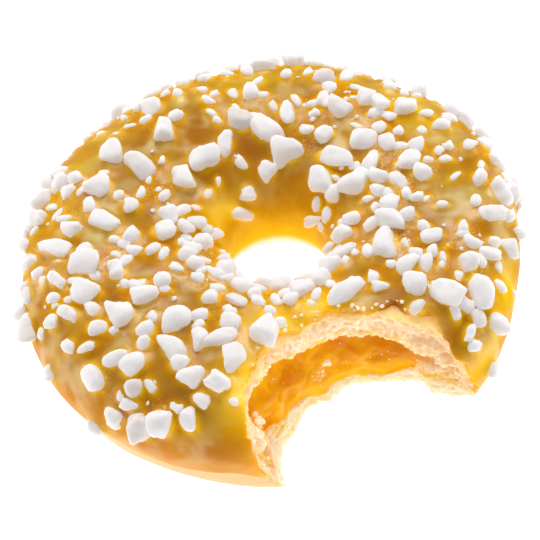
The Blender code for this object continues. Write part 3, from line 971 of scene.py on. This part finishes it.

# %% [markdown]
# ## Where the nibs fall
#
# Rolled in a tray of broken meringue, a wet doughnut picks up nibs in clusters and leaves some patches bare.
# The most striking nibs of the picture are placed one by one. The rest are drawn from a seeded rule, longest
# first, each where it isn't crowded. The first of them are the ones that the imported solid has.

# %% Nibs placed one by one, and bare patches
# Azimuth, section angle, length and width in mm, turn on the icing
STRIKING_NIBS = (
    (76, 117, 5.8, 5.0, 15), (49, 113, 7.8, 3.6, 15), (48, 131, 5.6, 4.6, 125), (28, 117, 6.2, 5.0, 105),
    (33, 102, 5.2, 2.9, 120), (124, 108, 6.0, 5.0, 145), (144, 89, 6.8, 4.2, 75), (144, 71, 5.8, 4.4, 35),
    (339, 107, 7.2, 5.0, 15), (190, 76, 5.6, 5.0, 70), (200, 72, 6.0, 4.8, 40), (325, 71, 6.6, 4.4, 80),
    (331, 52, 7.2, 4.5, 30), (263, 97, 6.8, 4.6, 75), (235, 80, 6.8, 3.9, 155), (229, 91, 5.8, 5.0, 120),
    (213, 80, 5.2, 4.8, 70), (228, 61, 5.4, 4.4, 75), (221, 39, 6.2, 4.0, 170), (236, 22, 5.2, 4.0, 110),
    (241, 31, 5.0, 4.2, 105), (247, 38, 4.8, 3.4, 130), (244, 67, 4.2, 3.7, 175), (252, 67, 4.2, 3.7, 60),
    (254, 84, 6.0, 3.8, 120), (247, 90, 6.2, 3.0, 30), (302, 107, 7.6, 3.8, 175), (333, 137, 6.2, 2.7, 115),
    (180, 58, 7.0, 3.0, 60), (172, 85, 7.0, 3.7, 55), (354, 106, 6.8, 3.6, 70), (357, 50, 6.8, 3.6, 110),
    (126, 83, 5.8, 4.0, 60), (140, 109, 5.4, 4.0, 55), (223, 58, 4.8, 3.2, 65), (229, 19, 4.0, 3.3, 90),
    (212, 91, 5.0, 3.5, 75), (89, 102, 6.6, 4.6, 120), (79, 92, 6.0, 3.0, 105), (110, 106, 5.4, 2.9, 60),
    (99, 95, 5.2, 4.0, 150), (177, 111, 4.6, 3.8, 120), (196, 88, 5.2, 3.4, 170), (23, 89, 4.6, 3.8, 60),
    (196, 17, 5.0, 3.6, 140), (208, 8, 3.4, 2.6, 65), (224, 0, 3.2, 3.0, 170), (110, 144, 3.1, 3.0, 70),
    (124, 157, 5.4, 2.5, 140), (182, 135, 3.4, 3.4, 175), (90, 132, 4.0, 3.3, 55), (122, 59, 4.9, 4.4, 170),
    (18, 26, 5.6, 3.2, 90), (5, 40, 5.1, 4.6, 20), (241, 135, 4.2, 3.4, 75), (285, 131, 4.6, 4.0, 20),
    (300, 131, 4.4, 4.0, 75), (314, 136, 4.2, 3.8, 120),
)
# Azimuth, section angle, reach in each, bareness, which is negative where nibs crowd
BARE_PATCHES = (
    (98, 150, 66, 44, 1.0), (214, 0, 56, 38, 0.95), (252, 22, 26, 34, 0.95), (322, 14, 18, 34, 0.85),
    (283, 100, 14, 24, 0.7), (350, 6, 24, 26, 0.95), (42, 85, 34, 48, -1.0), (14, 136, 30, 26, 0.7),
    (78, 116, 24, 22, 1.0),
)

# %% Nib layout
NIB_TOTAL = 400
NIB_SEED = 27
# Shortest, longest, usual
NIB_LENGTHS = (1.4 * MM, 5.2 * MM, 2.9 * MM)
NIB_WIDTH_RATIO = (0.5, 0.95)
NIB_HEIGHT_RATIO = (0.8, 1.1)
NIB_HIGHEST = 4.2 * MM
NIB_SINK = 0.24
NIB_SPACING = 0.72
NIB_ANGLES = (-6, 165)
NIB_TRIES = 400
CLUSTER_SIZE = 9.0 * MM
SPARSEST = 0.3
PATCH_CORE = 0.55
PATCH_FADE = 0.6


def nib_density(azimuth, angle):
    """How thickly the nibs lie: bare patches, clusters, and less room towards the hole."""
    share = math.sqrt(section_point(angle, 0.0)[0] / OUTER_RADIUS)
    for patch_azimuth, patch_angle, reach_azimuth, reach_angle, bareness in BARE_PATCHES:
        across = abs(turn_from(patch_azimuth, azimuth)) / reach_azimuth
        away = math.hypot(across, (angle - patch_angle) / reach_angle)
        share *= 1 - bareness * (1 - rising(away, PATCH_CORE, PATCH_FADE))
    cluster = 0.5 + noise.noise(on_ring(azimuth, angle) / CLUSTER_SIZE)
    return share * (SPARSEST + (1 - SPARSEST) * smooth_step(cluster))


def new_nib(azimuth, angle, length, width, turn, draw):
    height = min(width * draw.uniform(*NIB_HEIGHT_RATIO), NIB_HIGHEST)
    return {
        "spot": on_ring(azimuth, angle),
        "azimuth": azimuth,
        "angle": angle,
        "girth": (length + width) / 2,
        "size": Vector((length, width, height)),
        "turn": turn,
        "seed": draw.randrange(10**6),
    }


def crowds(nib, others):
    for other in others:
        room = NIB_SPACING * (nib["girth"] + other["girth"]) / 2
        if (nib["spot"] - other["spot"]).length < room:
            return True
    return False


def scatter_nibs(lengths, nibs):
    """Adds a nib for each length, each where the density allows it and no other nib is too near."""
    draw = random.Random(NIB_SEED)
    for length in lengths:
        width = length * draw.uniform(*NIB_WIDTH_RATIO)
        for _ in range(NIB_TRIES):
            azimuth = draw.uniform(0, 360)
            angle = draw.uniform(*NIB_ANGLES)
            if draw.random() > nib_density(azimuth, angle):
                continue
            nib = new_nib(azimuth, angle, length, width, draw.uniform(0, math.pi), draw)
            if not crowds(nib, nibs) and not inside_bite(nib["spot"], 0.5 * length):
                nibs.append(nib)
                break


def all_nibs():
    draw = random.Random(NIB_SEED)
    placed = [
        new_nib(azimuth, angle, length * MM, width * MM, math.radians(turn), draw)
        for azimuth, angle, length, width, turn in STRIKING_NIBS
    ]
    draw = random.Random(NIB_SEED)
    lengths = [draw.triangular(*NIB_LENGTHS) for _ in range(NIB_TOTAL - len(placed))]
    scatter_nibs(sorted(lengths, reverse=True), placed)
    return placed


def nib_axes(nib):
    """Length, width and height directions of a nib that lies on the icing."""
    nudge = 0.5
    along = on_ring(nib["azimuth"] + nudge, nib["angle"]) - on_ring(nib["azimuth"] - nudge, nib["angle"])
    over = on_ring(nib["azimuth"], nib["angle"] + nudge) - on_ring(nib["azimuth"], nib["angle"] - nudge)
    up = along.cross(over).normalized()
    along.normalize()
    over = up.cross(along)
    length = along * math.cos(nib["turn"]) + over * math.sin(nib["turn"])
    return length, up.cross(length), up


nibs = all_nibs()
print("nibs:", len(nibs), "longest, mm:", round(max(nib["size"].x for nib in nibs) / MM, 1))

# %% [markdown]
# ## The nibs
#
# Broken meringue is a pebble: flat faces where it snapped, corners that rubbed off in the tray. Modelling
# some hundreds by hand is no use, so a sphere of points is pulled in to a handful of seeded planes, with a
# soft minimum that keeps the edges between them round. Big nibs get a finer sphere than small ones, a fine
# dust lies between them, and all of them are joined in one mesh.

# %% The form of one nib
NIB_PLANES = 9
NIB_PLANE_REACH = (0.74, 1.04)
NIB_SHARPNESS = (4.0, 9.0)
NIB_BEND = 0.22
NIB_BEND_MIDDLE = 0.4
NIB_TAPER = 0.35
NIB_WAIST = (-0.8, 0.3)
NIB_WAIST_PLACE = 0.4
NIB_WAIST_LENGTH = 0.08
# Height, fineness
NIB_BUMPS = ((0.12, 1.6), (0.07, 3.9))
NOISE_SHIFT = 50


def pebble_planes(draw):
    """Unit normals, each divided by how far out its plane lies, of the planes that bound a pebble."""
    planes = [(0.0, 0.0, 1.0), (0.0, 0.0, -1.0), (1.0, 0.0, 0.0), (-1.0, 0.0, 0.0)]
    planes += [(0.0, 1.0, 0.0), (0.0, -1.0, 0.0)]
    for _ in range(NIB_PLANES):
        normal = Vector([draw.gauss(0.0, 1.0) for _ in range(3)]).normalized()
        planes.append(normal / draw.uniform(*NIB_PLANE_REACH))
    return np.array(planes)


def sphere_pattern(subdivisions):
    """Points and triangles of a sphere of radius 1."""
    bpy.ops.object.select_all(action="DESELECT")
    bpy.ops.mesh.primitive_ico_sphere_add(subdivisions=subdivisions, radius=1.0)
    sphere = bpy.context.object
    points = [vertex.co.copy() for vertex in sphere.data.vertices]
    faces = [tuple(polygon.vertices) for polygon in sphere.data.polygons]
    bpy.data.objects.remove(sphere, do_unlink=True)
    return points, faces


def pebble_points(nib, pattern):
    """The sphere's points, pulled in to the planes with a soft minimum, so that the edges stay round."""
    draw = random.Random(nib["seed"])
    planes = pebble_planes(draw)
    facing = np.maximum(np.array(pattern) @ planes.T, 0.0)
    sharpness = draw.uniform(*NIB_SHARPNESS)
    reaches = (facing**sharpness).sum(axis=1) ** (-1 / sharpness)
    shift = Vector([draw.uniform(0, NOISE_SHIFT) for _ in range(3)])
    bend = draw.uniform(-NIB_BEND, NIB_BEND)
    taper = draw.uniform(-NIB_TAPER, NIB_TAPER)
    waist = max(draw.uniform(*NIB_WAIST), 0.0)
    waist_at = draw.uniform(-NIB_WAIST_PLACE, NIB_WAIST_PLACE)
    length, width, up = nib_axes(nib)
    half = nib["size"] / 2
    rise = half.z * (1 - 2 * NIB_SINK)
    for direction, reach in zip(pattern, reaches):
        bumps = sum(height * noise.noise(direction * fineness + shift) for height, fineness in NIB_BUMPS)
        local = direction * (reach * (1 + bumps))
        girth = 1 + taper * local.x - waist * math.exp(-((local.x - waist_at) ** 2) / NIB_WAIST_LENGTH)
        local.y = local.y * girth + bend * (local.x * local.x - NIB_BEND_MIDDLE)
        local.z *= girth
        flat = nib["spot"] + length * local.x * half.x + width * local.y * half.y
        yield settled(flat + up * (local.z * half.z + rise))


# %% Nib piece
FINE_NIBS = 130
NIB_DUST = 110
DUST_LENGTHS = (0.5 * MM, 1.2 * MM)
DUST_WIDTH_RATIO = (0.6, 1.0)
DUST_ANYWHERE = 0.04
SOAKED_SHARE = 0.05
SOAKED = (0.5, 1.0)
UNSOAKED = (0.0, 0.12)


def join_pebbles(name, pebbles):
    """One mesh out of (points, triangles) for each pebble."""
    points, faces = [], []
    for corners, triangles in pebbles:
        start = len(points)
        points.extend(tuple(corner) for corner in corners)
        faces.extend(tuple(start + i for i in triangle) for triangle in triangles)
    mesh = bpy.data.meshes.new(name)
    mesh.from_pydata(points, [], faces)
    return add_object(name, mesh)


def dust():
    """Specks that broke off the nibs. They lie anywhere on the icing, also in the bare patches."""
    draw = random.Random(NIB_SEED + 2)
    specks = []
    while len(specks) < NIB_DUST:
        azimuth, angle = draw.uniform(0, 360), draw.uniform(*NIB_ANGLES)
        length = draw.uniform(*DUST_LENGTHS)
        width = length * draw.uniform(*DUST_WIDTH_RATIO)
        speck = new_nib(azimuth, angle, length, width, draw.uniform(0, math.pi), draw)
        wanted = draw.random() < DUST_ANYWHERE + nib_density(azimuth, angle)
        if wanted and not inside_bite(speck["spot"], length):
            specks.append(speck)
    return specks


def build_nibs():
    fine, coarse, grain = (sphere_pattern(subdivisions) for subdivisions in (3, 2, 1))
    draw = random.Random(NIB_SEED + 1)
    pebbles, soaked = [], []
    for index, nib in enumerate(nibs):
        pattern, triangles = fine if index < FINE_NIBS else coarse
        share = draw.uniform(*(SOAKED if draw.random() < SOAKED_SHARE else UNSOAKED))
        pebbles.append((pebble_points(nib, pattern), triangles))
        soaked.extend([share] * len(pattern))
    for speck in dust():
        pebbles.append((pebble_points(speck, grain[0]), grain[1]))
        soaked.extend([0.0] * len(grain[0]))
    piece = join_pebbles("meringue_nibs", pebbles)
    paint(piece, soaked=soaked)
    finish_piece(piece, "icing", meringue_material())


build_nibs()

# %% [markdown]
# ## The icing
#
# The icing is a thin coat that ends in a rounded lip low on both sides, and it broke off in a ragged line at
# the bite. It sags between the nibs and climbs a little up each of them, as any wet coat does, so its outer
# skin is raised near every nib. The mesh also carries what the finish has to know of each point to paint its
# light and shade: how near it is to a nib and to the bite, how the light falls on it by how far it faces up
# and back, where the coat lies thick and gets painted shade or thin and gets a painted glow, and how low it
# lies, for the painted glow down the hole and on the flank.

# %% The icing's form
ICING_LIP = 14
LIP_THINNING = 0.6
SKIN_STEPS = 560
SKIN_POINTS = 130
LINING_POINTS = 24
CLIMB_HEIGHT = 0.55 * MM
CLIMB_REACH = 0.45 * MM
FLOW_SIZE = 5.5 * MM
FLOW_DEPTH = 0.18 * MM
# Turn round the bite, height, reach along, reach up, push into the dough
PEELED_ICING = (
    (62, 21.0 * MM, 5.0 * MM, 9.0 * MM, 1.8 * MM),
    (118, 21.0 * MM, 12.0 * MM, 9.0 * MM, 0.9 * MM),
)
PEEL_WAVE = 0.8
PEEL_WAVE_SIZE = 3.0 * MM
RAGGED_ICING = (0.75 * MM, 1.9 * MM, 0.9, 2.1, 4)
ICING_OVERHANG = 0.3 * MM


def icing_outline(azimuth):
    edge_outside, edge_inside = icing_edges(azimuth)
    span = edge_inside - edge_outside

    def skin(angle):
        from_edge = min(angle - edge_outside, edge_inside - angle)
        thinning = 1 - smooth_step(from_edge / ICING_LIP)
        return section_point(angle, LIP_THINNING * ICING_THICKNESS * thinning)

    outer = [skin(edge_outside + span * i / (SKIN_POINTS - 1)) for i in range(SKIN_POINTS)]
    angles = [edge_outside + span * i / (LINING_POINTS - 1) for i in range(LINING_POINTS)]
    inner = [section_point(angle, ICING_THICKNESS) for angle in angles]
    return outer + inner[::-1]


def broken_icing(place):
    """Relief of the icing's broken edge. It came off with the bite where the dough's top shows."""
    peeled = pushed(place, PEELED_ICING) * (1 + PEEL_WAVE * noise.noise(place / PEEL_WAVE_SIZE))
    return max(peeled + tearing(place, *RAGGED_ICING), -ICING_OVERHANG)


# %% How near the nibs are
FOOTPRINT = 0.9
FOOTPRINT_HEIGHT = 2.5
CROWD_REACH = 1.8 * MM


def points_and_normals(obj):
    vertices = obj.data.vertices
    return np.array([vertex.co for vertex in vertices]), np.array([vertex.normal for vertex in vertices])


def nib_distances(points):
    """How far each point lies outside the nearest nib's footprint, and how many nibs crowd round it."""
    nearest = np.full(len(points), np.inf)
    crowd = np.zeros(len(points))
    for nib in nibs:
        length, width, up = (np.array(axis) for axis in nib_axes(nib))
        away = points - np.array(settled(nib["spot"]))
        half = np.array(nib["size"]) / 2
        round_x = (away @ length) / half[0]
        round_y = (away @ width) / half[1]
        round_z = (away @ up) / (FOOTPRINT_HEIGHT * half[2])
        share = np.sqrt(round_x**2 + round_y**2 + round_z**2)
        gap = np.maximum((share - FOOTPRINT) * min(half[0], half[1]), 0.0)
        nearest = np.minimum(nearest, gap)
        crowd += np.exp(-((gap / CROWD_REACH) ** 2))
    return nearest, crowd


def raise_skin(icing):
    """Lets the outer skin climb the nibs and flow in soft folds. The inner face stays on the dough."""
    points, normals = points_and_normals(icing)
    cores = points - AXIS
    cores[:, 2] = 0.0
    cores *= RING_RADIUS / np.linalg.norm(cores, axis=1)[:, None]
    cores[:, 2] = MID_HEIGHT
    outer = np.sum((points - cores - AXIS) * normals, axis=1) > 0
    climb = CLIMB_HEIGHT * np.exp(-nib_distances(points)[0] / CLIMB_REACH)
    flow = FLOW_DEPTH * np.array([noise.noise(Vector(point) / FLOW_SIZE) for point in points])
    points += normals * (np.where(outer, climb + flow, 0.0))[:, None]
    icing.data.vertices.foreach_set("co", points.ravel())
    icing.data.update()


# %% Where the icing lies thick, with painted shade, and thin, with a painted glow
# Where the coat lies thick and gets painted shade
# Azimuth, section angle, reach in each, strength
THICK_SHADED_ICING = (
    (99, 111, 15, 17, 1.0), (126, 122, 14, 12, 0.8), (68, 110, 14, 14, 1.0), (28, 103, 12, 14, 0.9),
    (236, 91, 12, 14, 0.8), (243, 48, 14, 15, 0.9), (226, 49, 10, 12, 0.5), (319, 46, 9, 16, 1.0),
    (318, 85, 11, 10, 1.0), (333, 60, 10, 15, 1.0), (352, 93, 14, 12, 0.7), (151, 86, 12, 12, 0.6),
)
# Where the coat lies thin and gets a painted glow
THIN_GLOWING_ICING = (
    (258, 64, 7, 30, 1.0), (266, 103, 14, 12, 0.9), (290, 109, 15, 12, 0.9), (338, 26, 10, 18, 1.0),
    (320, 15, 8, 12, 1.0), (143, 147, 17, 13, 1.0), (92, 62, 14, 14, 0.3), (42, 62, 14, 14, 0.6),
    (155, 52, 16, 16, 0.4),
)


def ring_places(points):
    """Azimuth and section angle of points on the icing, both in degrees."""
    away = points - np.array(AXIS)
    azimuth = np.degrees(np.arctan2(away[:, 1], away[:, 0]))
    outward = (np.hypot(away[:, 0], away[:, 1]) - RING_RADIUS) / HALF_WIDTH
    rise = away[:, 2] - MID_HEIGHT
    upward = rise / np.where(rise > 0, HALF_HEIGHT, LOWER_HALF_HEIGHT)
    across, over = (np.sign(side) * np.abs(side) ** (SQUARENESS / 2) for side in (outward, upward))
    return azimuth, np.degrees(np.arctan2(over, across))


def patchwork(points, patches):
    """The strongest of some soft oval patches on the ring, at each point."""
    azimuth, angle = ring_places(points)
    strongest = np.zeros(len(points))
    for patch_azimuth, patch_angle, reach_azimuth, reach_angle, strength in patches:
        along = turn_from(patch_azimuth, azimuth) / reach_azimuth
        across = turn_from(patch_angle, angle) / reach_angle
        strongest = np.maximum(strongest, strength * np.exp(-(along**2 + across**2)))
    return strongest


# %% Icing piece
GLOW_REACH = 0.8 * MM
BITE_GLOW = 2.0 * MM
CROWD_START = 1.2
CROWD_RUN = 1.4
# The height where each begins, and the run down to its full strength
HOLE_GLOW = (21.0 * MM, 18.0 * MM)
FLANK_GLOW = (18.0 * MM, 11.5 * MM)


def lowness(heights, top, run):
    """0 at the top, 1 from one run below it."""
    return np.clip((top - heights) / run, 0.0, 1.0)


def paint_icing(icing):
    points, normals = points_and_normals(icing)
    nearest, crowd = nib_distances(points)
    away = points - AXIS
    inside = np.hypot(away[:, 0], away[:, 1]) < RING_RADIUS
    paint(
        icing,
        # Nearness to nibs and to the bite, for painted glow, and crowding, for painted shade.
        near_nib=np.exp(-nearest / GLOW_REACH),
        near_bite=[math.exp(-max(wall_gap(Vector(place)), 0.0) / BITE_GLOW) for place in away],
        crowded=np.clip((crowd - CROWD_START) / CROWD_RUN, 0.0, 1.0),
        # How far each point faces up and back, for painted light and painted shade.
        lit=np.clip(normals[:, 2], 0.0, 1.0) ** 2,
        backward=np.clip(normals[:, 1], 0.0, 1.0) ** 0.7,
        # Thick patches get painted shade, thin patches a painted glow.
        thick=patchwork(points, THICK_SHADED_ICING),
        thin=patchwork(points, THIN_GLOWING_ICING),
        # How low each point lies, for the painted glow down the hole and on the low flank.
        glow_in_hole=np.where(inside, lowness(away[:, 2], *HOLE_GLOW), 0.0),
        glow_outside=np.where(inside, 0.0, lowness(away[:, 2], *FLANK_GLOW)),
    )


def build_icing():
    icing = shaped_ring("lemon_icing", icing_outline, SKIN_STEPS, settled)
    raise_skin(icing)
    cut(icing, bite_drum(broken_icing, set_back=-0.1 * MM, spacing=0.4 * MM))
    paint_icing(icing)
    finish_piece(icing, "icing", icing_material())
    return icing


icing = build_icing()

# %% [markdown]
# ## Crumbs and bubbles
#
# A bite sheds crumbs. They cling to the torn wall, they lie spilled on the icing beside it, and small air
# bubbles show in the gel. Particles would fall anywhere, so each is a tiny pebble set at a drawn place,
# inside one of a few bands on the wall or close to the icing's broken edge.

# %% Crumb material
def crumb_material():
    finish = Finish(
        "loose_crumb",
        Subsurface_Weight=0.3,
        Subsurface_Radius=(1.0, 0.9, 0.7),
        Subsurface_Scale=0.3 * MM,
        Specular_IOR_Level=0.1,
        Emission_Strength=0.2,
    )
    toasted = finish.mask(finish.noise(0.8 * MM), 0.4, 0.65)
    colour = finish.mix(toasted, (1.0, 0.88, 0.68), (1.0, 0.76, 0.42))
    # The crumbs glow faintly in their own colour: painted light.
    return finish.use(Base_Color=colour, Roughness=0.5 + 0.3 * toasted, Emission_Color=colour)


# %% Crumb piece
# Turns from and to, heights from and to in mm, count, widths from and to in mm, whose wall
CRUMB_BANDS = (
    (44, 62, 8.5, 14.0, 22, 0.4, 1.2, torn_crumb),
    (160, 178, 11.0, 14.5, 20, 0.5, 1.4, torn_crumb),
    (164, 182, 2.0, 10.5, 14, 0.3, 0.8, torn_crumb),
    (80, 150, 5.0, 15.0, 16, 0.2, 0.45, smooth_gel),
    (113, 121, 6.2, 8.8, 16, 0.25, 0.6, smooth_gel),
    (110, 113, 9.3, 10.3, 4, 0.9, 1.4, smooth_gel),
)
SPILLED_CRUMBS = 60
SPILL_TURNS = (62, 150)
SPILL_REACH = 1.0 * MM
SPILL_HALVES = (0.15, 0.45)
SPILL_DROP = 10 * MM
SPILL_DROP_LENGTH = 16 * MM
CRUMB_BUMPS = 0.5
CRUMB_FINENESS = 1.3


def on_wall(turn, height, relief):
    """A point on the torn wall of the dough or the gel."""
    around = spun(turn)
    set_back = GEL_SET_BACK if relief is smooth_gel else 0.0
    place = bite_centre(height) + around * (bite_reach(turn, height) + set_back)
    return place + around * relief(place) + AXIS


def spilled_spots(draw):
    """Places on top of the icing, most of them close to its broken edge."""
    top = surface_tree(icing)
    for _ in range(SPILLED_CRUMBS):
        turn = math.radians(draw.uniform(*SPILL_TURNS))
        reach = bite_reach(turn, BITE_TOP.z) + draw.expovariate(1 / SPILL_REACH)
        start = BITE_TOP + spun(turn) * reach + AXIS + Vector((0.0, 0.0, SPILL_DROP))
        hit = top.ray_cast(start, Vector((0.0, 0.0, -1.0)), SPILL_DROP_LENGTH)[0]
        if hit:
            yield hit


def crumb(spot, half, pattern, draw):
    shift = Vector([draw.uniform(0, NOISE_SHIFT) for _ in range(3)])
    bumps = [CRUMB_BUMPS * noise.noise(point * CRUMB_FINENESS + shift) for point in pattern]
    return [spot + point * half * (1 + bump) for point, bump in zip(pattern, bumps)]


def build_crumbs():
    draw = random.Random(NIB_SEED + 3)
    pattern, triangles = sphere_pattern(1)
    pebbles = []
    for spot in spilled_spots(draw):
        pebbles.append((crumb(spot, draw.uniform(*SPILL_HALVES) * MM, pattern, draw), triangles))
    for turn_low, turn_high, low, high, count, smallest, largest, relief in CRUMB_BANDS:
        for _ in range(count):
            turn = math.radians(draw.uniform(turn_low, turn_high))
            spot = on_wall(turn, draw.uniform(low, high) * MM, relief)
            half = draw.uniform(smallest, largest) * MM / 2
            pebbles.append((crumb(spot, half, pattern, draw), triangles))
    finish_piece(join_pebbles("loose_crumbs", pebbles), "dough", crumb_material())


build_crumbs()
